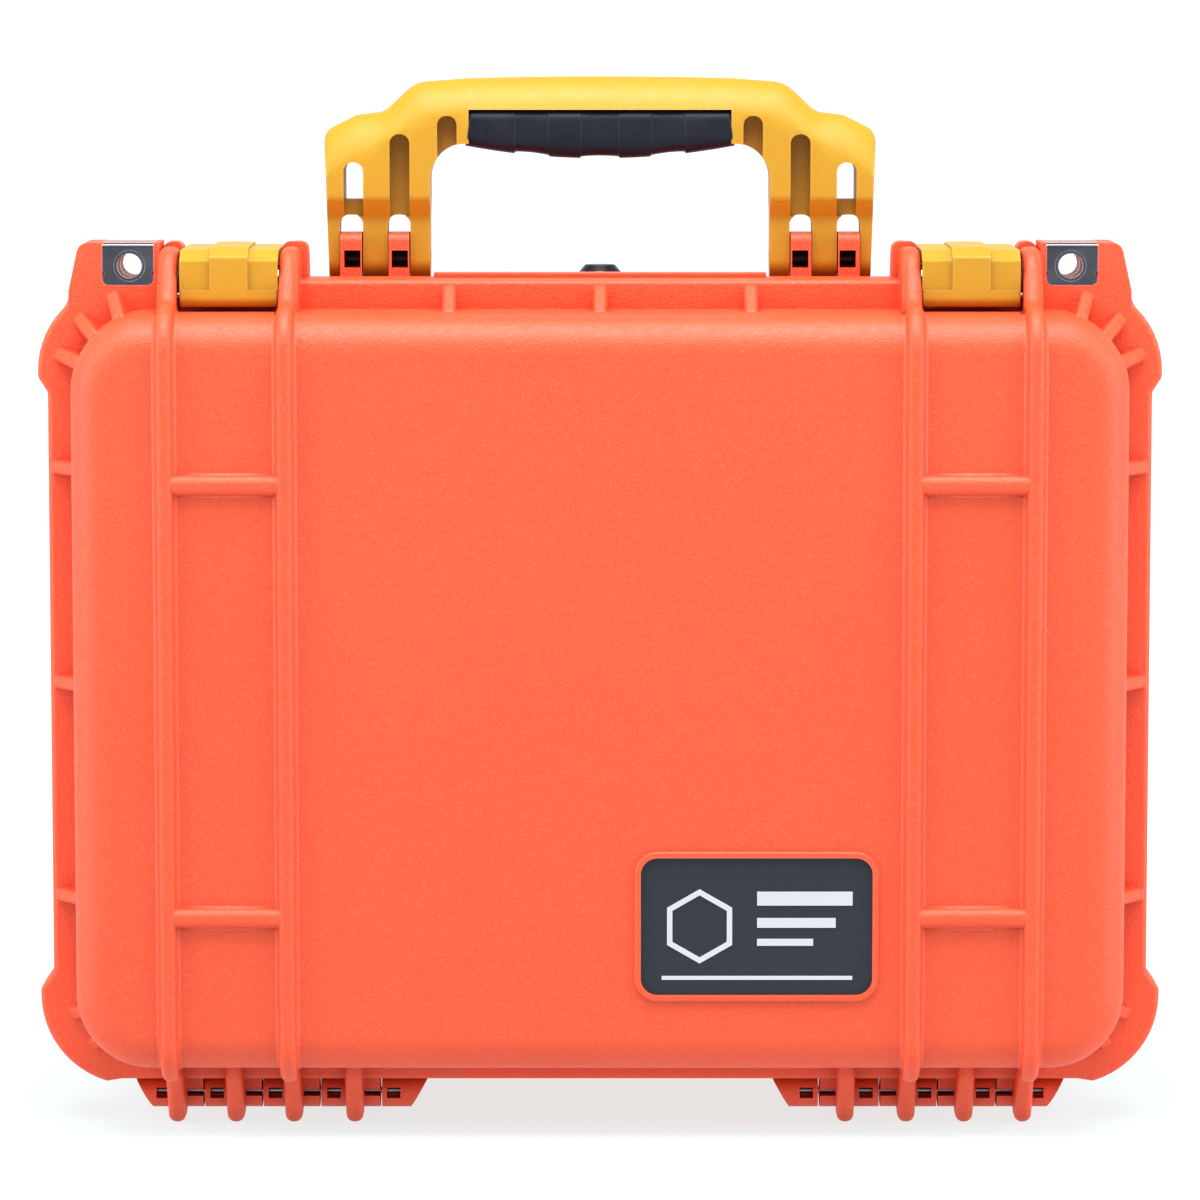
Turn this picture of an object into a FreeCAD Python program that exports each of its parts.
import FreeCAD, Part
import math
import os
import re
import Sketcher
from FreeCAD import Placement, Rotation, Vector

# Hard equipment case, standing on its hinge edge with the carrying handle raised.
# Row frame in millimetres: +X to the right, +Y from the lid towards the base, +Z up.
# The origin is at the middle of the footprint, on the floor.

doc = FreeCAD.newDocument("hard_case")

# ---------------------------------------------------------------- driving dimensions
SIZES = {
    # shells
    "half_width": 189.0,          # outer wall at the rim, from the middle
    "wall_low": 24.0,             # lowest outer wall at the rim
    "wall_high": 296.8,           # highest outer wall at the rim
    "wall_thick": 3.5,
    "draft_angle": 1.6,           # lid wall draft, degrees
    "base_draft_angle": 0.7,
    "plan_round": 27.0,           # plan corner radius
    "face_round": 13.0,           # radius round the edge of each big face
    "parting_y": -34.0,
    "parting_gap": 0.4,
    "lid_face_y": -83.0,
    "base_face_y": 83.0,
    "rib_proud": 4.0,
    "rib_width": 6.2,
    "rib_crown": 2.8,             # radius along both edges of a rib
    "outer_rib_x": 154.0,
    "inner_rib_x": 111.5,
    "outer_fin_x": 132.6,
    "inner_fin_x": 89.3,
    "crossbar_high": 7.2,
    "crossbar_offset": 77.4,
    "crossbar_middle_z": 158.8,
    "gusset_offset": 77.7,
    "gusset_middle_z": 162.0,
    "lid_ear_top": 318.4,
    "base_ear_top": 320.0,
    "ear_width": 7.2,
    "ear_shift": 0.5,             # ears stand this far away from the latch
    "ear_low": 299.0,
    # flange round the parting plane
    "flange_half": 198.5,
    "flange_low": 16.0,
    "flange_high": 307.0,
    "flange_depth": 12.8,
    "bumper_half": 203.2,
    "bumper_radius": 33.4,
    "corner_low_z": 47.0,
    "corner_high_z": 274.0,
    "gusset_width": 5.0,
    "gusset_reach": 12.0,         # depth along the wall
    "gusset_out": 8.2,            # height off the wall
    "low_gusset_reach": 5.5,
    "low_gusset_out": 5.4,
    "deck_half": 60.0,
    "deck_step": 1.6,
    # padlock lugs and their steel plates
    "lug_inner": 158.0,
    "lug_top": 320.2,
    "padlock_x": 168.6,
    "padlock_z": 312.0,
    "padlock_radius": 4.4,
    "plate_inner": 160.0,
    "plate_outer": 178.4,
    "plate_low": 305.0,
    "plate_gauge": 1.0,
    "plate_round": 2.4,
    "collar_radius": 5.6,
    "collar_proud": 0.6,
    # hinge
    "hinge_y": -34.0,
    "hinge_z": 9.5,
    "knuckle_radius": 6.0,
    "hinge_pin_radius": 1.3,
    "running_gap": 0.06,
    "knuckle_reach": 9.0,
    "knuckle_gap": 0.6,
    "knuckle_side": 2.8,          # knuckle's outer end, from the rib's middle
    "knuckle_slot": 5.8,          # length of pin left open beside each rib
    "hinge_bar_inner": 61.6,
    "hinge_bar_outer": 171.0,
    "hinge_bar_slant": 8.0,
    "hinge_window_width": 5.0,
    "hinge_middle_x": 116.3,
    "hinge_pin_length": 99.4,
    # seal
    "seal_offset": 3.0,           # groove centre line outside the outer wall
    "seal_radius": 1.4,
    "groove_width": 3.8,
    "groove_depth": 3.8,
    "tongue_width": 1.6,
    "tongue_height": 1.0,
    # latches
    "latch_x": 132.4,
    "latch_width": 35.0,
    "latch_pin_y": -54.5,
    "latch_pin_z": 301.8,
    "latch_pin_radius": 1.3,
    "lever_pin_y": -15.0,
    "lever_pin_z": 310.0,
    "lever_pin_radius": 1.1,
    "claw_width": 18.0,
    "cheek_thick": 2.4,
    "lever_column": 13.6,         # raised middle of the lever's face
    "lever_arch": 1.2,            # rise of its top over the width
    # handle
    "handle_y": -12.0,
    "handle_z": 313.0,
    "handle_top": 379.0,
    "handle_half": 100.1,
    "handle_foot_half": 98.4,
    "handle_inner": 61.6,
    "opening_round": 13.0,
    "handle_front": -25.0,
    "handle_back": 1.0,
    "tine_radius": 7.5,
    "handle_pin_radius": 2.7,
    "outer_lug_low": 86.4,
    "outer_lug_high": 94.1,
    "inner_lug_low": 69.2,
    "inner_lug_high": 76.6,
    "lug_slot_gap": 0.4,
    "handle_lug_top": 322.6,
    "handle_lug_middle": 81.0,
    "handle_pin_length": 34.4,
    "grip_half": 47.5,
    # pressure valve
    "valve_y": -6.0,
    "valve_radius": 10.4,
    "valve_bore": 6.0,
    "boss_radius": 12.0,
    "boss_top": 301.0,
    # nameplate
    "nameplate_left": 14.5,
    "nameplate_right": 97.1,
    "nameplate_low": 53.7,
    "nameplate_high": 103.2,
    "nameplate_round": 6.0,
    "nameplate_thick": 1.0,
    "nameplate_sink": 0.8,
    "bead_width": 2.2,
    "bead_proud": 1.6,
}

sheet = doc.addObject("Spreadsheet::Sheet", "Sizes")
for row, (alias, value) in enumerate(SIZES.items(), start=1):
    sheet.set(f"A{row}", alias)
    sheet.set(f"B{row}", str(value))
    sheet.setAlias(f"B{row}", alias)
doc.recompute()

WORD = re.compile(r"[a-z][a-z_]*[a-z](?![a-z_(])")


def linked(expression):
    """The expression with every size name pointed at the spreadsheet."""
    return WORD.sub(lambda found: "Sizes." + found.group(0), str(expression))


def number(expression):
    """The present value of an expression of size names."""
    return float(sheet.evalExpression(linked(expression)))


def bind(item, **expressions):
    """Bind properties of an object to expressions; '_' in a key stands for a dot."""
    for key, expression in expressions.items():
        item.setExpression(key.replace("_", "."), linked(expression))


# ---------------------------------------------------------------- building blocks
PLANES = {"XY": "XY_Plane", "XZ": "XZ_Plane", "YZ": "YZ_Plane"}


def arc_between(start, end, radius):
    """An arc from start to end; a positive radius turns anticlockwise. Says which end comes first."""
    chord = end - start
    normal = Vector(-chord.y, chord.x, 0).normalize()
    rise = math.sqrt(radius * radius - chord.Length ** 2 / 4)
    centre = (start + end) / 2 + normal * math.copysign(rise, radius)
    first, last = (start, end) if radius > 0 else (end, start)
    angles = [math.atan2(spot.y - centre.y, spot.x - centre.x) for spot in (first, last)]
    return Part.ArcOfCircle(Part.Circle(centre, Vector(0, 0, 1), abs(radius)), *angles), radius > 0


def make_sketch(body, name, plane, offset, points, arcs=None):
    """A closed outline on one of the body's own planes; every corner is dimensioned.

    arcs maps the number of a corner to the signed radius of the stretch that starts there.
    """
    arcs = arcs or {}
    sketch = body.newObject("Sketcher::SketchObject", name)
    role = PLANES[plane]
    support = [item for item in body.Origin.OriginFeatures if item.Role == role][0]
    sketch.AttachmentSupport = [(support, "")]
    sketch.MapMode = "FlatFace"
    sketch.AttachmentOffset = Placement(Vector(0, 0, number(offset)), Rotation())
    sketch.setExpression("AttachmentOffset.Base.z", linked(offset))
    corners = [Vector(number(u), number(v), 0) for u, v in points]
    count = len(corners)
    starts = []
    for index in range(count):
        start, end = corners[index], corners[(index + 1) % count]
        forward = True
        if index in arcs:
            stretch, forward = arc_between(start, end, number(arcs[index]))
        else:
            stretch = Part.LineSegment(start, end)
        sketch.addGeometry(stretch, False)
        starts.append(1 if forward else 2)
    for index in range(count):
        after = (index + 1) % count
        sketch.addConstraint(Sketcher.Constraint("Coincident", index, 3 - starts[index], after, starts[after]))
    for index, radius in arcs.items():
        place = sketch.addConstraint(Sketcher.Constraint("Radius", index, abs(number(radius))))
        sketch.setExpression(f"Constraints[{place}]", linked(f"abs({radius})"))
    for index, (u, v) in enumerate(points):
        for kind, value, text, axis in (("DistanceX", corners[index].x, u, -2),
                                        ("DistanceY", corners[index].y, v, -1)):
            if abs(value) < 1e-9:
                sketch.addConstraint(Sketcher.Constraint("PointOnObject", index, starts[index], axis))
                continue
            place = sketch.addConstraint(Sketcher.Constraint(kind, -1, 1, index, starts[index], value))
            sketch.setExpression(f"Constraints[{place}]", linked(text))
    return sketch


def along(plane, edge):
    """Whether an edge runs along the direction in which the plane's outlines are padded."""
    start, end = edge.Vertexes[0].Point, edge.Vertexes[-1].Point
    step = end - start
    axis = {"XY": 2, "XZ": 1, "YZ": 0}[plane]
    across = [abs(step[i]) for i in range(3) if i != axis]
    return abs(step[axis]) > 1e-3 and max(across) < 0.12 * abs(step[axis])


def in_plane(plane, point):
    """The two sketch coordinates of a point in space."""
    return {"XY": (point.x, point.y), "XZ": (point.x, point.z), "YZ": (point.y, point.z)}[plane]


def add_fillet(body, name, base, radius, edges):
    """A PartDesign fillet on the named edges of the base feature."""
    fillet = body.newObject("PartDesign::Fillet", name)
    fillet.Base = (base, edges)
    fillet.Radius = number(radius)
    fillet.setExpression("Radius", linked(radius))
    doc.recompute()
    return fillet


def prism(name, plane, low, high, points, corner_rounds=(), rim_round=None, rim_test=None, taper=None,
          arcs=None):
    """A body padded from low to high across the plane.

    corner_rounds lists (radius, [corner numbers]); rim_round then rounds every edge of the
    two end faces that passes rim_test.
    """
    body = doc.addObject("PartDesign::Body", name)
    offset = f"-1*({high})" if plane == "XZ" else low
    sketch = make_sketch(body, name + "_outline", plane, offset, points, arcs)
    feature = body.newObject("PartDesign::Pad", name + "_pad")
    feature.Profile = sketch
    feature.setExpression("Length", linked(f"({high}) - ({low})"))
    if taper is not None:
        feature.setExpression("TaperAngle", linked(taper))
    doc.recompute()
    for turn, (radius, corners) in enumerate(corner_rounds):
        spots = [Vector(number(points[i][0]), number(points[i][1]), 0) for i in corners]
        edges = []
        for index, edge in enumerate(feature.Shape.Edges, start=1):
            if not along(plane, edge):
                continue
            spot = [Vector(*in_plane(plane, vertex.Point), 0) for vertex in edge.Vertexes]
            if any(min((s - corner).Length for s in spot) < 0.6 for corner in spots):
                edges.append(f"Edge{index}")
        feature = add_fillet(body, f"{name}_corner_{turn}", feature, radius, edges)
    if rim_round is not None:
        edges = []
        for index, edge in enumerate(feature.Shape.Edges, start=1):
            middle = edge.valueAt((edge.FirstParameter + edge.LastParameter) / 2)
            if not along(plane, edge) and rim_test(middle):
                edges.append(f"Edge{index}")
        feature = add_fillet(body, name + "_rim", feature, rim_round, edges)
    body.Tip = feature
    doc.recompute()
    return body


def box(name, x, y, z):
    """A box from pairs of expressions, low and high, along each axis."""
    item = doc.addObject("Part::Box", name)
    for size, place, (low, high) in (("Length", "x", x), ("Width", "y", y), ("Height", "z", z)):
        item.setExpression(size, linked(f"({high}) - ({low})"))
        item.setExpression(f"Placement.Base.{place}", linked(low))
    return item


TURNS = {"X": Rotation(Vector(0, 1, 0), 90), "Y": Rotation(Vector(1, 0, 0), -90), "Z": Rotation()}


def rod(name, axis, start, length, radius):
    """A cylinder along an axis from a start point of three expressions."""
    item = doc.addObject("Part::Cylinder", name)
    item.Placement = Placement(Vector(*[number(value) for value in start]), TURNS[axis])
    for letter, value in zip("xyz", start):
        item.setExpression(f"Placement.Base.{letter}", linked(value))
    item.setExpression("Radius", linked(radius))
    item.setExpression("Height", linked(length))
    return item


def fuse(name, items):
    item = doc.addObject("Part::MultiFuse", name)
    item.Shapes = items
    doc.recompute()
    return item


def cut(name, base, tools):
    """The base without the tools."""
    tool = tools[0] if len(tools) == 1 else fuse(name + "_tools", tools)
    item = doc.addObject("Part::Cut", name)
    item.Base = base
    item.Tool = tool
    doc.recompute()
    return item


def common(name, first, second):
    item = doc.addObject("Part::Common", name)
    item.Base = first
    item.Tool = second
    doc.recompute()
    return item


def rectangle(left, right, low, high):
    return [(left, low), (right, low), (right, high), (left, high)]


def span(centre, width):
    """Low and high expressions of a width about a centre."""
    return f"{centre} - {width}/2", f"{centre} + {width}/2"


def mirrored(side, low, high):
    """Low and high expressions of a stretch of |X| on one side of the middle."""
    if side > 0:
        return low, high
    return f"-1*({high})", f"-1*({low})"


SIDES = {"right": 1, "left": -1}

# ---------------------------------------------------------------- places shared by both shells
LID_BACK = "parting_y - parting_gap/2"
BASE_FRONT = "parting_y + parting_gap/2"
LID_FLANGE_FRONT = f"{LID_BACK} - flange_depth"
BASE_FLANGE_BACK = f"{BASE_FRONT} + flange_depth"


FLANGE_RIGHT = [
    ("174", "flange_low"), ("179.6", "corner_low_z - 31.9"),
    ("bumper_half", "corner_low_z"), ("bumper_half", "corner_low_z + 2.5"), ("flange_half", "corner_low_z + 9"),
    ("flange_half", "corner_high_z - 7.5"), ("bumper_half - 1.2", "corner_high_z - 2"),
    ("bumper_half - 1.2", "corner_high_z"), ("192.9", "corner_high_z + 22.4"),
    ("190.6", "flange_high - 5"), ("189.8", "flange_high")]
# the bumpers' round stretches: corner number and signed radius
FLANGE_ARCS = {1: "bumper_radius", 7: "bumper_radius - 1.8", 8: "-8"}


def flange_prism(name, low, high, rim_y):
    """The flange with its four corner bumpers, its far edge rounded."""
    points = FLANGE_RIGHT + [(f"-1*({x})", z) for x, z in reversed(FLANGE_RIGHT)]
    last = len(points) - 1
    arcs = dict(FLANGE_ARCS)
    arcs.update({last - 1 - start: radius for start, radius in FLANGE_ARCS.items()})
    rounded = [(radius, corners + [last - corner for corner in corners])
               for radius, corners in (("3", [3, 6]), ("4", [4, 5]))]
    return prism(name, "XZ", low, high, points, rounded, "2",
                 lambda point: abs(point.y - number(rim_y)) < 0.1, arcs=arcs)


def rect_about(grow):
    """The wall's outline at the rim, grown outwards."""
    return rectangle(f"-half_width - ({grow})", f"half_width + ({grow})",
                     f"wall_low - ({grow})", f"wall_high + ({grow})")


def rounded_block(name, low, high, grow, plan_round, face_round, face_y, taper):
    """The drafted block of a shell or of its cavity, rounded in plan and round its big face."""
    return prism(name, "XZ", low, high, rect_about(grow), [(plan_round, [0, 1, 2, 3])],
                 face_round, lambda point: abs(point.y - number(face_y)) < 0.5, taper)


def ring(name, low, high, width):
    """A rounded rectangular ring on the seal's centre line."""
    outer = prism(name + "_outer", "XZ", low, high, rect_about(f"(seal_offset + {width}/2)"),
                  [(f"plan_round + seal_offset + {width}/2", [0, 1, 2, 3])])
    inner = prism(name + "_inner", "XZ", f"({low}) - 1", f"({high}) + 1",
                  rect_about(f"(seal_offset - {width}/2)"),
                  [(f"plan_round + seal_offset - {width}/2", [0, 1, 2, 3])])
    return cut(name, outer, [inner])


def lug(name, side, low, high):
    """One ear for a padlock on the flange's top corner."""
    points = [("lug_inner", "flange_high - 10"), ("190.6", "flange_high - 10"),
              ("190.6", "flange_high - 4"), ("186.8", "lug_top"), ("lug_inner", "lug_top")]
    points = [(f"{side}*({x})", z) for x, z in points]
    return prism(name, "XZ", low, high, points, [("4", [3])])


def knuckle_stretches():
    """Stretches of |X| that the lid's knuckles take, outermost first."""
    return [(f"{centre} - knuckle_reach", f"{centre} + knuckle_side")
            for centre in ("outer_rib_x", "outer_fin_x", "inner_rib_x", "inner_fin_x")]


# ---------------------------------------------------------------- padlock plates
def padlock_plate(name, side, front, back):
    """Steel sheet folded over the lug, drilled for the shackle."""
    low, high = mirrored(side, "plate_inner", "plate_outer")
    legs = [(f"{back}", "plate_low"), (f"{back}", "lug_top"), (f"{front}", "lug_top"),
            (f"{front}", "plate_low"), (f"{front} + plate_gauge", "plate_low"),
            (f"{front} + plate_gauge", "lug_top - plate_gauge"),
            (f"{back} - plate_gauge", "lug_top - plate_gauge"), (f"{back} - plate_gauge", "plate_low")]
    sheet_metal = prism(name + "_fold", "YZ", low, high, legs, [("1.6", [1, 2]), ("0.6", [5, 6])])
    outline = prism(name + "_outline_mask", "XZ", f"{front} - 1", f"{back} + 1",
                    rectangle(low, high, "plate_low", "lug_top"), [("plate_round", [0, 1])])
    blank = common(name + "_blank", sheet_metal, outline)
    corner = ("lug_top - 2*plate_gauge", "lug_top + 1")
    room = fuse(name + "_room", [blank, box(name + "_front_room", (low, high),
                                            (f"{front} - 1", f"{front} + plate_gauge"), corner),
                                 box(name + "_back_room", (low, high),
                                     (f"{back} - plate_gauge", f"{back} + 1"), corner)])
    outer, step = (front, -1) if front == LID_FLANGE_FRONT else (back, 1)
    collar = rod(name + "_collar", "Y", (f"{side}*padlock_x", outer, "padlock_z"),
                 "collar_proud + plate_gauge/2", "collar_radius")
    collar.setExpression("Placement.Base.y", linked(f"{outer} - collar_proud") if step < 0
                         else linked(f"{outer} - plate_gauge/2"))
    hole = rod(name + "_hole", "Y", (f"{side}*padlock_x", f"{front} - 2", "padlock_z"),
               "40", "padlock_radius")
    notches = [rod(f"{name}_notch_{index}", "Y", (edge, f"{front} - 1", "plate_low + 4.2"), "40", "0.9")
               for index, edge in enumerate((low, high))]
    return cut(name, fuse(name + "_body", [blank, collar]), [hole] + notches), room


plates = {}
plate_rooms = {}
for side_name, side in SIDES.items():
    for shell, front, back in (("lid", LID_FLANGE_FRONT, LID_BACK), ("base", BASE_FRONT, BASE_FLANGE_BACK)):
        key = f"{shell}_padlock_plate_{side_name}"
        plates[key], plate_rooms[key] = padlock_plate(key, side, front, back)

# ---------------------------------------------------------------- lid shell
# A rib's side view, (Y, Z). It stands proud of the face, turns over the top into an ear
# beside the latch and runs down past the hinge into a foot.
lid_rib_side = [
    (LID_BACK, "hinge_z - knuckle_radius"), (f"{LID_BACK} - 3", "0"), (f"{LID_BACK} - 13", "0"),
    ("lid_face_y + 22", "wall_low - 5"), ("lid_face_y - rib_proud", "wall_low - 2.5"),
    ("lid_face_y - rib_proud", "wall_high + rib_proud - 1.5"),
    ("lid_face_y + 18", "wall_high + rib_proud - 1"),
    ("lid_face_y + 29", "lid_ear_top"), (LID_BACK, "lid_ear_top")]
lid_ear_side = [
    (LID_BACK, "ear_low - 8"), (LID_BACK, "lid_ear_top"), ("lid_face_y + 30", "lid_ear_top"),
    ("lid_face_y + 20", "ear_low + 1"), ("lid_face_y + 20", "ear_low - 8")]
lid_fin_side = [
    (LID_BACK, "hinge_z - knuckle_radius"), (f"{LID_BACK} - 3", "0"), (f"{LID_BACK} - 13", "0"),
    ("lid_face_y + 22", "wall_low - 5"), ("lid_face_y + 22", "wall_low + 6"),
    (LID_BACK, "wall_low + 6")]


def rib(name, x, side_view, corner_rounds, keep_y, width="rib_width", crown="rib_crown"):
    """A thin upright wall that follows a side view, with rounded outer edges."""
    return prism(name, "YZ", f"{x} - {width}/2", f"{x} + {width}/2", side_view, corner_rounds,
                 crown, lambda point: abs(point.y - number(keep_y)) > 0.2)


EARS = {"outer_rib_x": "(outer_rib_x + ear_shift)", "inner_rib_x": "(inner_rib_x - ear_shift)"}
BASE_EARS = {"outer_rib_x": "(outer_rib_x + ear_shift - 0.7)", "inner_rib_x": "(inner_rib_x - ear_shift - 2)"}


lid_parts = [rounded_block("lid_block", "lid_face_y", LID_BACK, "0", "plan_round", "face_round",
                           "lid_face_y", "-1*draft_angle")]
lid_parts.append(flange_prism("lid_flange", LID_FLANGE_FRONT, LID_BACK, LID_FLANGE_FRONT))
lid_cuts = []
for side_name, side in SIDES.items():
    for place in ("outer_rib_x", "inner_rib_x"):
        lid_parts.append(rib(f"lid_{place}_{side_name}", f"{side}*{place}", lid_rib_side,
                             [("5", [2, 3]), ("16", [4, 5]), ("6", [6]), ("12", [7]), ("2", [1])],
                             LID_BACK))
        lid_parts.append(rib(f"lid_ear_{place}_{side_name}", f"{side}*{EARS[place]}", lid_ear_side,
                             [("10", [2])], LID_BACK, "ear_width"))
    for place in ("outer_fin_x", "inner_fin_x"):
        lid_parts.append(rib(f"lid_{place}_{side_name}", f"{side}*{place}", lid_fin_side,
                             [("5", [2, 3]), ("2", [1])], LID_BACK))
    for level, sign in (("low", -1), ("high", 1)):
        low, high = mirrored(side, "inner_rib_x", "outer_rib_x")
        centre = f"(crossbar_middle_z + {sign}*crossbar_offset)"
        bar_low, bar_high = span(centre, "crossbar_high")
        lid_parts.append(prism(f"lid_crossbar_{level}_{side_name}", "YZ", low, high,
                               [("lid_face_y + 1", bar_low), ("lid_face_y + 1", bar_high),
                                ("lid_face_y - rib_proud + 0.4", bar_high),
                                ("lid_face_y - rib_proud + 0.4", bar_low)], [("3.2", [2, 3])]))
    lid_parts.append(lug(f"lid_lug_{side_name}", side, LID_FLANGE_FRONT, LID_BACK))
    for index, stretch in enumerate(knuckle_stretches()):
        low, high = mirrored(side, *stretch)
        lid_parts.append(rod(f"lid_knuckle_{side_name}_{index}", "X", (low, "hinge_y", "hinge_z"),
                             f"({high}) - ({low})", "knuckle_radius"))
        lid_parts.append(box(f"lid_knuckle_web_{side_name}_{index}", (low, high),
                             (f"{LID_BACK} - 5.5", LID_BACK), ("hinge_z", "flange_low + 1")))
        near, far = mirrored(side, f"({stretch[0]}) - 0.5", f"({stretch[0]}) + knuckle_slot")
        lid_cuts.append(box(f"lid_knuckle_slot_{side_name}_{index}", (near, far),
                            ("hinge_y - 12", "hinge_y"), ("hinge_z - 1.1", "hinge_z + 1.3")))
    lid_cuts.append(rod(f"lid_hinge_bore_{side_name}", "X",
                        (f"{side}*hinge_middle_x - 62", "hinge_y", "hinge_z"), "124",
                        "hinge_pin_radius + running_gap"))
    lid_cuts.append(rod(f"lid_latch_bore_{side_name}", "X",
                        (f"{side}*latch_x - 24", "latch_pin_y", "latch_pin_z"), "48",
                        "latch_pin_radius"))
    lid_cuts.append(plate_rooms[f"lid_padlock_plate_{side_name}"])
    lid_cuts.append(rod(f"lid_padlock_bore_{side_name}", "Y",
                        (f"{side}*padlock_x", f"{LID_FLANGE_FRONT} - 1", "padlock_z"), "20",
                        "padlock_radius"))


def gusset(name, centre_x, centre_z, angle, reach, size=""):
    """A small web between wall and flange, turned about the centre of a plan corner."""
    out, deep = f"{reach} + {size}gusset_out", f"{LID_FLANGE_FRONT} - {size}gusset_reach"
    body = prism(name, "XY", "-gusset_width/2", "gusset_width/2",
                 [(f"{reach} - 6", f"{LID_FLANGE_FRONT} + 2"), (out, f"{LID_FLANGE_FRONT} + 2"),
                  (out, f"{LID_FLANGE_FRONT} - 0.6"), (f"{reach} - 0.4", deep), (f"{reach} - 6", deep)],
                 [("2", [2]), ("1.5", [3])], "1.6", lambda point: point.y < number(LID_FLANGE_FRONT) + 1)
    body.Placement = Placement(Vector(number(centre_x), 0, number(centre_z)),
                               Rotation(Vector(0, 1, 0), -angle))
    body.setExpression("Placement.Base.x", linked(centre_x))
    body.setExpression("Placement.Base.z", linked(centre_z))
    return body


for side_name, side in SIDES.items():
    facing = 0 if side > 0 else 180
    for index, sign in enumerate((-1, 0, 1)):
        lid_parts.append(gusset(f"lid_gusset_{side_name}_{index}", "0",
                                f"gusset_middle_z + {sign}*gusset_offset", facing, "half_width"))
    for index, angle in enumerate((18, 43, 68)):
        turned = angle if side > 0 else 180 - angle
        lid_parts.append(gusset(f"lid_corner_gusset_{side_name}_{index}",
                                f"{side}*(half_width - plan_round)", "wall_high - plan_round",
                                turned, "plan_round"))
    for index, angle in enumerate((-20, -45)):
        turned = angle if side > 0 else 180 - angle
        lid_parts.append(gusset(f"lid_low_gusset_{side_name}_{index}",
                                f"{side}*(half_width - plan_round)", "wall_low + plan_round",
                                turned, "plan_round", "low_"))
for index, place in enumerate((-54, 0, 54)):
    lid_parts.append(gusset(f"lid_top_gusset_{index}", str(place), "0", 90, "wall_high"))

# raised frame that holds the nameplate
lid_parts.append(prism("nameplate_bead", "XZ", "lid_face_y - bead_proud", "lid_face_y + 1",
                       rectangle("nameplate_left - bead_width", "nameplate_right + bead_width",
                                 "nameplate_low - bead_width", "nameplate_high + bead_width"),
                       [("nameplate_round + bead_width", [0, 1, 2, 3])], "0.7",
                       lambda point: point.y < number("lid_face_y - bead_proud/2")))
nameplate = prism("nameplate", "XZ", "lid_face_y - nameplate_thick + nameplate_sink",
                  "lid_face_y + nameplate_sink",
                  rectangle("nameplate_left", "nameplate_right", "nameplate_low", "nameplate_high"),
                  [("nameplate_round", [0, 1, 2, 3])])
lid_cuts.append(prism("nameplate_recess", "XZ", "lid_face_y - 3", "lid_face_y + nameplate_sink",
                      rectangle("nameplate_left", "nameplate_right", "nameplate_low", "nameplate_high"),
                      [("nameplate_round", [0, 1, 2, 3])]))
lid_cuts.append(rounded_block("lid_cavity", "lid_face_y + wall_thick", "parting_y + 2",
                              "-1*wall_thick", "plan_round - wall_thick", "face_round - 4",
                              "lid_face_y + wall_thick", "-1*draft_angle"))
lid_cuts.append(ring("seal_groove", f"{LID_BACK} - groove_depth", f"{LID_BACK} + 1", "groove_width"))
lid_shell = cut("lid_shell", fuse("lid_solid", lid_parts), lid_cuts)

# ---------------------------------------------------------------- base shell
base_rib_side = [
    (BASE_FRONT, "base_ear_top"), (BASE_FRONT, "flange_low"), ("hinge_y + 17", "flange_low"),
    ("hinge_y + 17", "0"), ("base_face_y - 24", "0"), ("base_face_y - 8", "wall_low - 3"),
    ("base_face_y + rib_proud", "wall_low"), ("base_face_y + rib_proud", "wall_high + rib_proud - 1.5"),
    (f"{BASE_FLANGE_BACK} + 12", "wall_high + rib_proud"), (f"{BASE_FLANGE_BACK} + 2", "base_ear_top")]
base_ear_side = [
    (BASE_FRONT, "ear_low - 8"), (f"{BASE_FLANGE_BACK} + 12", "ear_low - 8"),
    (f"{BASE_FLANGE_BACK} + 12", "ear_low + 2"), (f"{BASE_FLANGE_BACK} + 3", "base_ear_top"),
    (BASE_FRONT, "base_ear_top")]
base_fin_side = [
    ("hinge_y + 17", "wall_low + 6"), ("hinge_y + 17", "0"), ("base_face_y - 24", "0"),
    ("base_face_y - 8", "wall_low - 3"), ("base_face_y - 8", "wall_low + 6")]

# middles of the windows that show the hinge pin, one in each stretch of the base's bar
HINGE_WINDOWS = ["159.6", "139.9", "118.6", "97.2", "75.4"]

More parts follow.
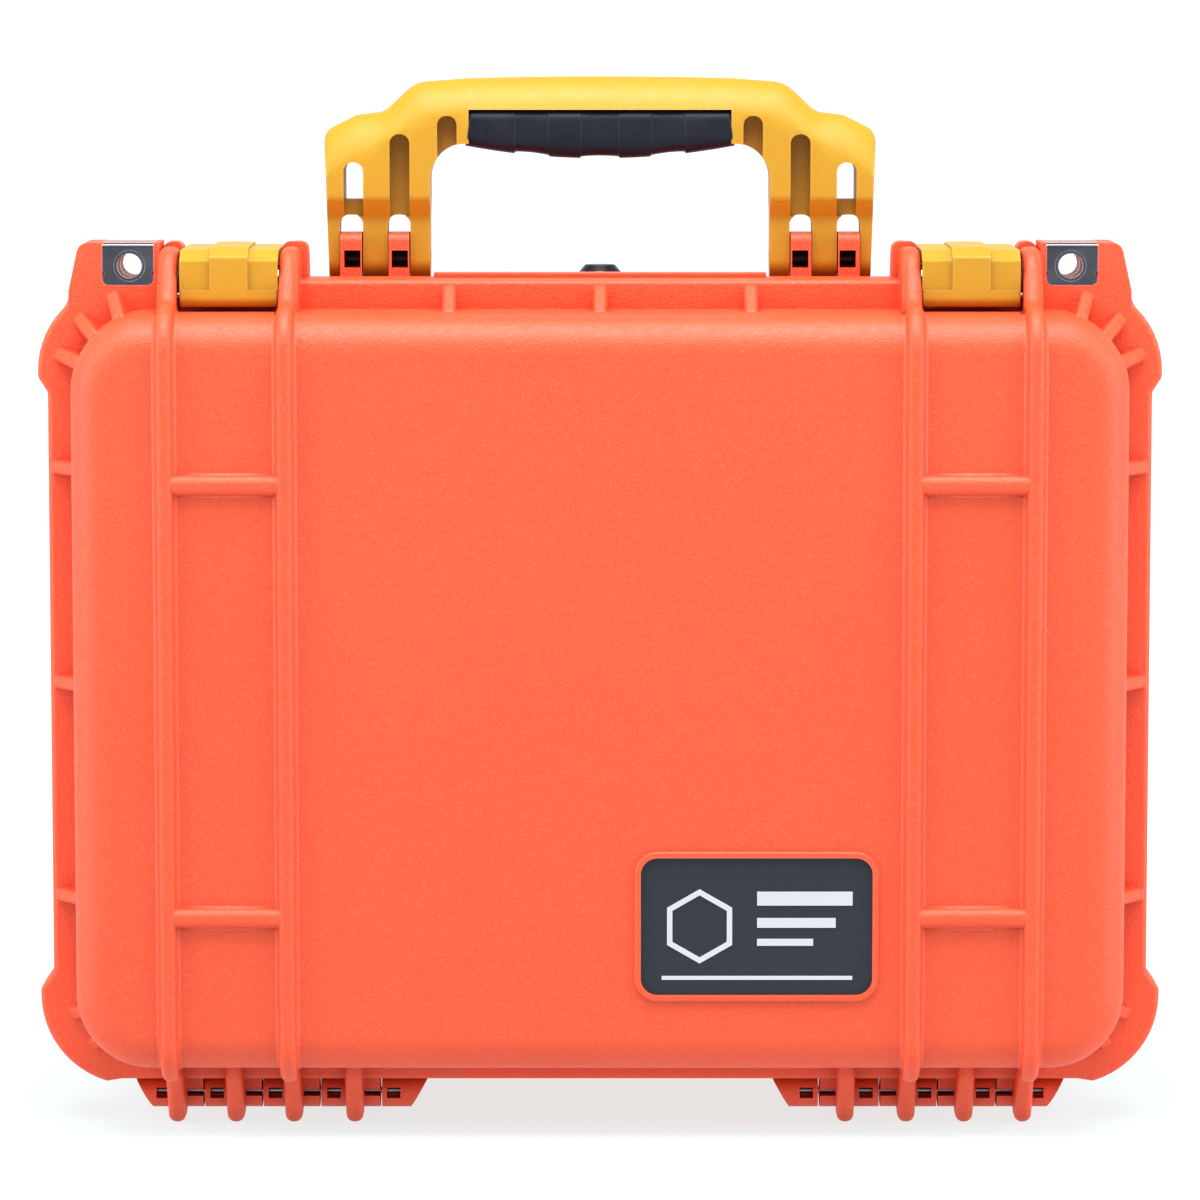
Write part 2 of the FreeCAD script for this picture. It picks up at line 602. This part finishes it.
base_parts = [prism("base_block", "XZ", BASE_FRONT, "base_face_y", rect_about("0 - 1.4"),
                    [("plan_round", [0, 1, 2, 3])], "face_round",
                    lambda point: abs(point.y - number("base_face_y")) < 0.5, "base_draft_angle")]
base_parts.append(flange_prism("base_flange", BASE_FRONT, BASE_FLANGE_BACK, BASE_FLANGE_BACK))
base_parts.append(box("base_deck", ("-deck_half", "deck_half"), (BASE_FRONT, f"{BASE_FLANGE_BACK} - 1"),
                      ("flange_high - 4", "flange_high + deck_step")))
base_parts.append(ring("seal_tongue", f"{BASE_FRONT} - tongue_height", f"{BASE_FRONT} + 1", "tongue_width"))
base_parts.append(rod("valve_boss", "Z", ("0", "valve_y", "wall_high - 5"),
                      "boss_top - wall_high + 5", "boss_radius"))
base_cuts = []
for side_name, side in SIDES.items():
    for place in ("outer_rib_x", "inner_rib_x"):
        base_parts.append(rib(f"base_{place}_{side_name}", f"{side}*{place}", base_rib_side,
                              [("6", [3, 4, 5]), ("16", [6, 7]), ("8", [8]), ("10", [9])], BASE_FRONT))
        base_parts.append(rib(f"base_ear_{place}_{side_name}", f"{side}*{BASE_EARS[place]}", base_ear_side,
                              [("8", [3])], BASE_FRONT, "ear_width"))
    for place in ("outer_fin_x", "inner_fin_x"):
        base_parts.append(rib(f"base_{place}_{side_name}", f"{side}*{place}", base_fin_side,
                              [("6", [1, 2, 3])], BASE_FRONT))
    for level, sign in (("low", -1), ("high", 1)):
        low, high = mirrored(side, "inner_rib_x", "outer_rib_x")
        centre = f"(crossbar_middle_z + {sign}*crossbar_offset)"
        bar_low, bar_high = span(centre, "crossbar_high")
        base_parts.append(prism(f"base_crossbar_{level}_{side_name}", "YZ", low, high,
                                [("base_face_y - 1", bar_low), ("base_face_y + rib_proud - 0.4", bar_low),
                                 ("base_face_y + rib_proud - 0.4", bar_high), ("base_face_y - 1", bar_high)],
                                [("3.2", [1, 2])]))
    base_parts.append(lug(f"base_lug_{side_name}", side, BASE_FRONT, BASE_FLANGE_BACK))
    # hinge block: a rounded bar under the flange, slanted at both ends
    low, high = mirrored(side, "hinge_bar_inner", "hinge_bar_outer")
    bar = prism(f"hinge_bar_{side_name}", "YZ", low, high,
                [(BASE_FLANGE_BACK, "flange_low + 1"), (BASE_FRONT, "flange_low + 1"),
                 (BASE_FRONT, "hinge_z + knuckle_radius"),
                 ("hinge_y - knuckle_radius", "hinge_z + knuckle_radius"),
                 ("hinge_y - knuckle_radius", "hinge_z - knuckle_radius"),
                 ("hinge_y + knuckle_radius", "hinge_z - knuckle_radius"),
                 (BASE_FLANGE_BACK, "flange_low - 4")],
                [("knuckle_radius - 0.1", [3, 4])])
    foot = "hinge_z - knuckle_radius - 0.5"
    slant = [(f"{side}*hinge_bar_inner", "flange_low + 1"), (f"{side}*hinge_bar_outer", "flange_low + 1"),
             (f"{side}*(hinge_bar_outer - hinge_bar_slant)", foot),
             (f"{side}*(hinge_bar_inner + hinge_bar_slant)", foot)]
    mask = prism(f"hinge_slant_{side_name}", "XZ", "hinge_y - 10", f"{BASE_FLANGE_BACK} + 1", slant)
    base_parts.append(common(f"hinge_block_{side_name}", bar, mask))
    for index, (low, high) in enumerate(knuckle_stretches()):
        low, high = mirrored(side, f"{low} - knuckle_gap", f"{high} + knuckle_gap")
        base_cuts.append(box(f"hinge_gap_{side_name}_{index}", (low, high),
                             ("hinge_y - 10", "hinge_y + 16.8"), ("-1", "flange_low - 0.05")))
    for index, place in enumerate(HINGE_WINDOWS):
        window_low, window_high = span(f"{side}*{place}", "hinge_window_width")
        base_cuts.append(box(f"hinge_window_{side_name}_{index}", (window_low, window_high),
                             ("hinge_y - 10", "hinge_y"), ("hinge_z - 2", "hinge_z + 2")))
    base_cuts.append(rod(f"base_hinge_bore_{side_name}", "X",
                         (f"{side}*hinge_middle_x - hinge_pin_length/2 - 0.3", "hinge_y", "hinge_z"),
                         "hinge_pin_length + 0.6", "hinge_pin_radius"))
    base_cuts.append(plate_rooms[f"base_padlock_plate_{side_name}"])
    base_cuts.append(rod(f"base_padlock_bore_{side_name}", "Y",
                         (f"{side}*padlock_x", f"{BASE_FRONT} - 1", "padlock_z"), "20", "padlock_radius"))
    # lugs that carry the handle's pin, each with a window that shows the pin
    for place in ("outer", "inner"):
        low, high = mirrored(side, f"{place}_lug_low", f"{place}_lug_high")
        base_parts.append(prism(f"handle_lug_{place}_{side_name}", "YZ", low, high,
                                [(f"{BASE_FLANGE_BACK} - 2", "flange_high - 6"),
                                 (f"{BASE_FLANGE_BACK} - 2", "handle_lug_top"),
                                 ("handle_y + 8", "handle_lug_top"), ("handle_y + 12", "wall_high - 3"),
                                 (f"{BASE_FLANGE_BACK} - 2", "wall_high - 3")],
                                [("3", [1]), ("6", [2])]))
        window_low, window_high = mirrored(side, f"{place}_lug_low + 0.4", f"{place}_lug_low + 6.4")
        base_cuts.append(box(f"handle_window_{place}_{side_name}", (window_low, window_high),
                             (f"{BASE_FLANGE_BACK} - 4", "handle_y"), ("handle_z - 3", "handle_z + 3.4")))
    base_cuts.append(rod(f"handle_bore_{side_name}", "X",
                         (f"{side}*handle_lug_middle - 22", "handle_y", "handle_z"), "44",
                         "handle_pin_radius"))
base_cuts.append(prism("base_cavity", "XZ", "parting_y - 2", "base_face_y - wall_thick - 0.5",
                       rect_about("0 - 1.4 - wall_thick"), [("plan_round - wall_thick", [0, 1, 2, 3])],
                       "face_round - 4",
                       lambda point: abs(point.y - number("base_face_y - wall_thick - 0.5")) < 0.5,
                       "base_draft_angle"))
base_cuts.append(rod("valve_hole", "Z", ("0", "valve_y", "wall_high - 20"), "60", "valve_bore"))
base_shell = cut("base_shell", fuse("base_solid", base_parts), base_cuts)

# ---------------------------------------------------------------- seal and hinge pins
SEAL_FOOT = f"{LID_BACK} - groove_depth + 0.1"
lid_seal = ring("lid_seal", SEAL_FOOT, f"{SEAL_FOOT} + 2*seal_radius - 0.4",
                "2*seal_radius")
pins = []
for side_name, side in SIDES.items():
    pins.append(rod(f"hinge_pin_{side_name}", "X",
                    (f"{side}*hinge_middle_x - hinge_pin_length/2", "hinge_y", "hinge_z"),
                    "hinge_pin_length", "hinge_pin_radius"))

# ---------------------------------------------------------------- latches
# The claw turns on a pin between two ears of the lid and reaches over both flanges.
# The lever turns on a second pin near the claw's end and covers it.
claw_side = [
    ("latch_pin_y - 2.8", "latch_pin_z - 2.8"), ("latch_pin_y + 2.8", "latch_pin_z - 2.8"),
    ("latch_pin_y + 2.8", "latch_pin_z + 3"), ("latch_pin_y + 6.2", "flange_high + 0.6"),
    ("lever_pin_y + 2.4", "flange_high + 0.6"), ("lever_pin_y + 2.4", "lever_pin_z + 2.4"),
    ("latch_pin_y - 0.6", "lever_pin_z + 2.4"), ("latch_pin_y - 2.8", "lever_pin_z - 0.5")]
LEVER_TOP = "lever_pin_z + 9.1"
lever_side = [
    ("latch_pin_y - 5.2", "latch_pin_z - 4.2"), ("latch_pin_y + 5", "latch_pin_z - 4.2"),
    ("latch_pin_y + 5", "latch_pin_z + 4"), ("latch_pin_y + 7.2", "flange_high + 0.9"),
    ("lever_pin_y + 5", "flange_high + 0.9"), ("lever_pin_y + 6", LEVER_TOP),
    ("latch_pin_y + 2", LEVER_TOP), ("latch_pin_y - 5.2", "lever_pin_z + 5.8")]
moving = {}
for side_name, side in SIDES.items():
    centre = f"{side}*latch_x"
    low, high = span(centre, "claw_width")
    claw = prism(f"claw_{side_name}", "YZ", low, high, claw_side,
                 [("2.7", [0, 1]), ("2.3", [4, 5]), ("1.5", [2, 6])])
    claw_bore = rod(f"claw_bore_{side_name}", "X", (f"{centre} - 20", "latch_pin_y", "latch_pin_z"), "40",
                    "latch_pin_radius + running_gap")
    lever_bore = rod(f"claw_lever_bore_{side_name}", "X", (f"{centre} - 20", "lever_pin_y", "lever_pin_z"),
                     "40", "lever_pin_radius")
    moving[f"latch_claw_{side_name}"] = cut(f"latch_claw_{side_name}", claw, [claw_bore, lever_bore])
    low, high = span(centre, "latch_width")
    lever = prism(f"lever_{side_name}", "YZ", low, high, lever_side,
                  [("3.6", [0]), ("2", [1]), ("1.2", [7]), ("4", [6]), ("2", [5])], "0.8",
                  lambda point: True)
    arch = prism(f"lever_arch_{side_name}", "XZ", "latch_pin_y - 8", "lever_pin_y + 10",
                 rectangle(low, high, "latch_pin_z - 6", f"{LEVER_TOP} - lever_arch"),
                 arcs={2: "latch_width*latch_width/(8*lever_arch) + lever_arch/2"})
    lever = common(f"lever_arched_{side_name}", lever, arch)
    hollow_low, hollow_high = span(centre, "latch_width - 2*cheek_thick")
    hollow = [box(f"lever_hollow_{side_name}", (hollow_low, hollow_high),
                  ("latch_pin_y - 3.1", "lever_pin_y + 8"), ("latch_pin_z - 6", "lever_pin_z + 2.9"))]
    hollow.append(rod(f"lever_bore_{side_name}", "X", (f"{centre} - 20", "lever_pin_y", "lever_pin_z"), "40",
                      "lever_pin_radius + running_gap"))
    hollow.append(rod(f"lever_pin_slot_{side_name}", "X", (f"{centre} - 20", "latch_pin_y", "latch_pin_z"),
                      "40", "latch_pin_radius + 0.5"))
    hollow.append(box(f"lever_pin_mouth_{side_name}", (low, high), ("latch_pin_y - 1.8", "latch_pin_y + 1.8"),
                      ("latch_pin_z - 6", "latch_pin_z")))
    for wing in (-1, 1):
        wing_low, wing_high = sorted((f"{centre} + {wing}*lever_column/2", f"{centre} + {wing}*20"), key=number)
        hollow.append(box(f"lever_wing_{side_name}_{wing + 1}", (wing_low, wing_high),
                          ("latch_pin_y - 8", "latch_pin_y - 4.2"), ("latch_pin_z + 2.2", "lever_pin_z + 12")))
        hollow.append(prism(f"lever_top_{side_name}_{wing + 1}", "YZ", wing_low, wing_high,
                            [("latch_pin_y - 9", "lever_pin_z + 2.2"), ("latch_pin_y - 4.2", "lever_pin_z + 4.2"),
                             ("latch_pin_y + 2.5", f"{LEVER_TOP} - 1"), ("lever_pin_y + 12", f"{LEVER_TOP} - 1"),
                             ("lever_pin_y + 12", f"{LEVER_TOP} + 4"),
                             ("latch_pin_y - 9", f"{LEVER_TOP} + 4")]))
    moving[f"latch_lever_{side_name}"] = cut(f"latch_lever_{side_name}", lever, hollow)
    pins.append(rod(f"latch_lid_pin_{side_name}", "X", (f"{centre} - 23", "latch_pin_y", "latch_pin_z"), "46",
                    "latch_pin_radius"))
    pins.append(rod(f"latch_lever_pin_{side_name}", "X", (f"{centre} - 17.2", "lever_pin_y", "lever_pin_z"),
                    "34.4", "lever_pin_radius"))

# ---------------------------------------------------------------- handle


# the handle's front outline on the right: at its middle, and at the edge of its flat face
HANDLE_MIDDLE = [("handle_inner", "handle_z - 8"), ("handle_foot_half", "handle_z - 8"),
                 ("handle_half", "handle_top - 23"), ("handle_half - 2.4", "handle_top - 18.6"),
                 ("88.6", "handle_top - 14"), ("80", "handle_top - 12.9"), ("75.4", "handle_top - 10"),
                 ("70.8", "handle_top - 5.6"), ("63", "handle_top - 1.8"), ("48", "handle_top - 0.7")]
HANDLE_FACE = [("handle_inner", "handle_z - 8"), ("handle_foot_half - 0.8", "handle_z - 8"),
               ("handle_half - 1.2", "handle_top - 36"), ("handle_half - 3", "handle_top - 33.2"),
               ("88.6", "handle_top - 28.6"), ("80", "handle_top - 24"), ("75.4", "handle_top - 21.4"),
               ("69", "handle_top - 18"), ("62.5", "handle_top - 14.5"), ("48", "handle_top - 12.6")]
HANDLE_ARCS = {2: 6.0, 5: -9.0, 7: 13.0}


def handle_section(share):
    """The outline between the middle (share 0) and the flat face (share 1), with its arcs."""
    right = [tuple(f"({near}) + {share}*(({far}) - ({near}))" for near, far in zip(middle, face))
             for middle, face in zip(HANDLE_MIDDLE, HANDLE_FACE)]
    left = [(f"-1*({x})", z) for x, z in reversed(right)]
    opening = [("handle_inner - opening_round", "handle_top - 24.1"),
               ("handle_inner", "handle_top - 24.1 - opening_round")]
    opening_left = [(f"-1*({x})", z) for x, z in reversed(opening)]
    points = right + left + opening_left + opening
    last = len(left) + len(right) - 1
    arcs = {len(right) - 1: "1650", last + 1: "-1*opening_round", last + 3: "-1*opening_round"}
    if share < 1:
        for start, radius in HANDLE_ARCS.items():
            arcs[start] = arcs[last - 1 - start] = str(radius / (1 - share))
    return points, arcs


def loft(name, sections):
    """A body lofted through outlines on front planes, given as (y, (points, arcs))."""
    body = doc.addObject("PartDesign::Body", name)
    sketches = [make_sketch(body, f"{name}_section_{index}", "XZ", f"-1*({y})", *outline)
                for index, (y, outline) in enumerate(sections)]
    feature = body.newObject("PartDesign::AdditiveLoft", name + "_loft")
    feature.Profile = sketches[0]
    feature.Sections = sketches[1:]
    feature.Ruled = True
    body.Tip = feature
    doc.recompute()
    return body


# how far behind the flat face each section lies, and its share of the face's outline
CROWN = [(0.0, 1.0), (1.0, 0.78), (2.4, 0.57), (4.2, 0.38), (6.4, 0.21), (9.0, 0.08), (11.5, 0.0)]
handle_sections = [(f"handle_front + {step}", handle_section(share)) for step, share in CROWN]
handle_sections += [(f"handle_back - {step}", handle_section(share)) for step, share in reversed(CROWN)]
handle_block = loft("handle_block", handle_sections)
handle_side = prism("handle_side", "YZ", "-handle_half - 1", "handle_half + 1",
                    [("handle_y - tine_radius", "handle_z - tine_radius"),
                     ("handle_y + tine_radius", "handle_z - tine_radius"),
                     ("handle_y + tine_radius", "handle_z + 15"), ("handle_back", "handle_z + 22"),
                     ("handle_back", "handle_top + 1"), ("handle_front", "handle_top + 1"),
                     ("handle_front", "handle_z + 22"), ("handle_y - tine_radius", "handle_z + 15")],
                    [("tine_radius - 0.1", [0, 1]), ("4", [2, 3, 6, 7])])
handle_cuts = []
tongue_y = ("handle_y - 7", "handle_y + 7")
# windows and blind recesses of the handle: |X| from and to, Z from and to, right through
HANDLE_WINDOWS = {"outer": ("85.7", "92.8", "328.5", "348.2", True),
                  "middle": ("68.9", "76.1", "328.5", "358.4", False),
                  "inner": ("51.8", "58.9", "340", "365", False)}
FACE_DEPTHS = [("handle_front - 2", "handle_y - 4"), ("handle_y + 4", "handle_back + 2")]
for side_name, side in SIDES.items():
    for place in ("outer", "inner"):
        low, high = mirrored(side, f"{place}_lug_low - lug_slot_gap", f"{place}_lug_high + lug_slot_gap")
        handle_cuts.append(prism(f"tine_slot_{place}_{side_name}", "XZ", "handle_front - 2", "handle_back + 2",
                                 rectangle(low, high, "handle_z - 12", "handle_z + 16"),
                                 [("3.4", [2, 3])]))
    for place, (near, far, bottom, top, through) in HANDLE_WINDOWS.items():
        low, high = mirrored(side, near, far)
        for index, (front, back) in enumerate(FACE_DEPTHS):
            handle_cuts.append(prism(f"leg_recess_{place}_{side_name}_{index}", "XZ", front, back,
                                     rectangle(low, high, bottom, top), [("3.4", [2, 3])]))
        if through:
            handle_cuts.append(prism(f"leg_window_{place}_{side_name}", "XZ", "handle_y - 5", "handle_y + 5",
                                     rectangle(low, high, "334.6", top), [("3.4", [2, 3])]))
    handle_cuts.append(rod(f"handle_pin_bore_{side_name}", "X",
                           (f"{side}*handle_lug_middle - 22", "handle_y", "handle_z"), "44",
                           "handle_pin_radius + running_gap"))
grip_room = box("grip_room", ("-grip_half", "grip_half"), ("handle_front - 2", "handle_back + 2"),
                ("handle_top - 30", "handle_top - 11.8"))
grip_tongue = box("grip_tongue", ("-grip_half", "grip_half"), tongue_y, ("handle_top - 20", "handle_top - 11"))
handle_cuts.append(cut("grip_channel", grip_room, [grip_tongue]))
handle_frame = cut("handle_frame", common("handle_solid", handle_block, handle_side), handle_cuts)
grip_body = prism("grip_body", "YZ", "-grip_half", "grip_half",
                  [("handle_front - 0.6", "handle_top - 11.8"), ("handle_front - 0.6", "handle_top - 22"),
                   ("handle_y - 8", "handle_top - 28.6"), ("handle_y + 8", "handle_top - 28.6"),
                   ("handle_back + 0.6", "handle_top - 22"), ("handle_back + 0.6", "handle_top - 11.8")],
                  [("5", [1, 4]), ("6", [2, 3])])
handle_grip = cut("handle_grip", grip_body, [box("grip_slot", ("-grip_half - 1", "grip_half + 1"), tongue_y,
                                                 ("handle_top - 20", "handle_top - 11"))])
for side_name, side in SIDES.items():
    pins.append(rod(f"handle_pin_{side_name}", "X",
                    (f"{side}*handle_lug_middle - handle_pin_length/2", "handle_y", "handle_z"),
                    "handle_pin_length", "handle_pin_radius"))

# ---------------------------------------------------------------- pressure valve
# The housing screws through the base's top wall; the membrane sits in its head.
head = rod("valve_head", "Z", ("0", "valve_y", "boss_top + 1.2"), "3.2", "valve_radius")
dome = doc.addObject("Part::Cone", "valve_dome")
bind(dome, Radius1="valve_radius - 0.6", Radius2="valve_radius - 5", Height="5",
     Placement_Base_y="valve_y", Placement_Base_z="boss_top + 4.4")
stem = rod("valve_stem", "Z", ("0", "valve_y", "wall_high - 12"), "boss_top - wall_high + 13.2",
           "valve_bore - 0.1")
valve_bores = [rod("valve_core", "Z", ("0", "valve_y", "wall_high - 13"), "boss_top - wall_high + 15",
                   "valve_bore - 2.5")]
valve_bores.append(box("valve_vent", ("-1", "1"), ("valve_y - 12", "valve_y + 12"),
                       ("boss_top + 5.6", "boss_top + 7.2")))
valve_housing = cut("valve_housing", fuse("valve_solid", [head, dome, stem]), valve_bores)
seal_ring = rod("valve_seal_disc", "Z", ("0", "valve_y", "boss_top"), "1.2", "valve_radius - 0.8")
valve_seal = cut("valve_seal", seal_ring, [rod("valve_seal_bore", "Z", ("0", "valve_y", "boss_top - 1"), "4",
                                               "valve_bore - 0.1")])
valve_membrane = rod("valve_membrane", "Z", ("0", "valve_y", "boss_top"), "0.6", "valve_bore - 2.5")
nut_disc = prism("valve_nut_disc", "XY", "wall_high - 9.5", "wall_high - 5.5",
                 [("8.6", "valve_y - 5"), ("8.6", "valve_y + 5"), ("0", "valve_y + 10"),
                  ("-8.6", "valve_y + 5"), ("-8.6", "valve_y - 5"), ("0", "valve_y - 10")])
valve_nut = cut("valve_nut", nut_disc, [rod("valve_nut_bore", "Z", ("0", "valve_y", "wall_high - 14"), "14",
                                            "valve_bore - 0.1")])

# ---------------------------------------------------------------- check and write
NODES = {"lid_shell": lid_shell, "base_shell": base_shell, "lid_seal": lid_seal, "nameplate": nameplate,
         "handle_frame": handle_frame, "handle_grip": handle_grip, "valve_housing": valve_housing,
         "valve_seal": valve_seal, "valve_membrane": valve_membrane, "valve_nut": valve_nut}
NODES.update(plates)
NODES.update(moving)
NODES.update({pin.Name: pin for pin in pins})
doc.recompute()
for item in doc.Objects:
    if "Invalid" in item.State or "Error" in item.State:
        raise RuntimeError(f"{item.Name} failed: {item.State}")
os.makedirs("parts", exist_ok=True)
for node, item in NODES.items():
    item.Label = node
    shape = item.Shape
    if shape.isNull() or not shape.isValid():
        raise RuntimeError(f"{node} has no valid shape")
    extent = shape.optimalBoundingBox()
    print(f"{node:28s} solids {len(shape.Solids)} volume {shape.Volume:10.1f}  "
          f"x {extent.XMin:.1f} {extent.XMax:.1f}  y {extent.YMin:.1f} {extent.YMax:.1f}  "
          f"z {extent.ZMin:.1f} {extent.ZMax:.1f}")
    shape.exportStep(f"parts/{node}.step")
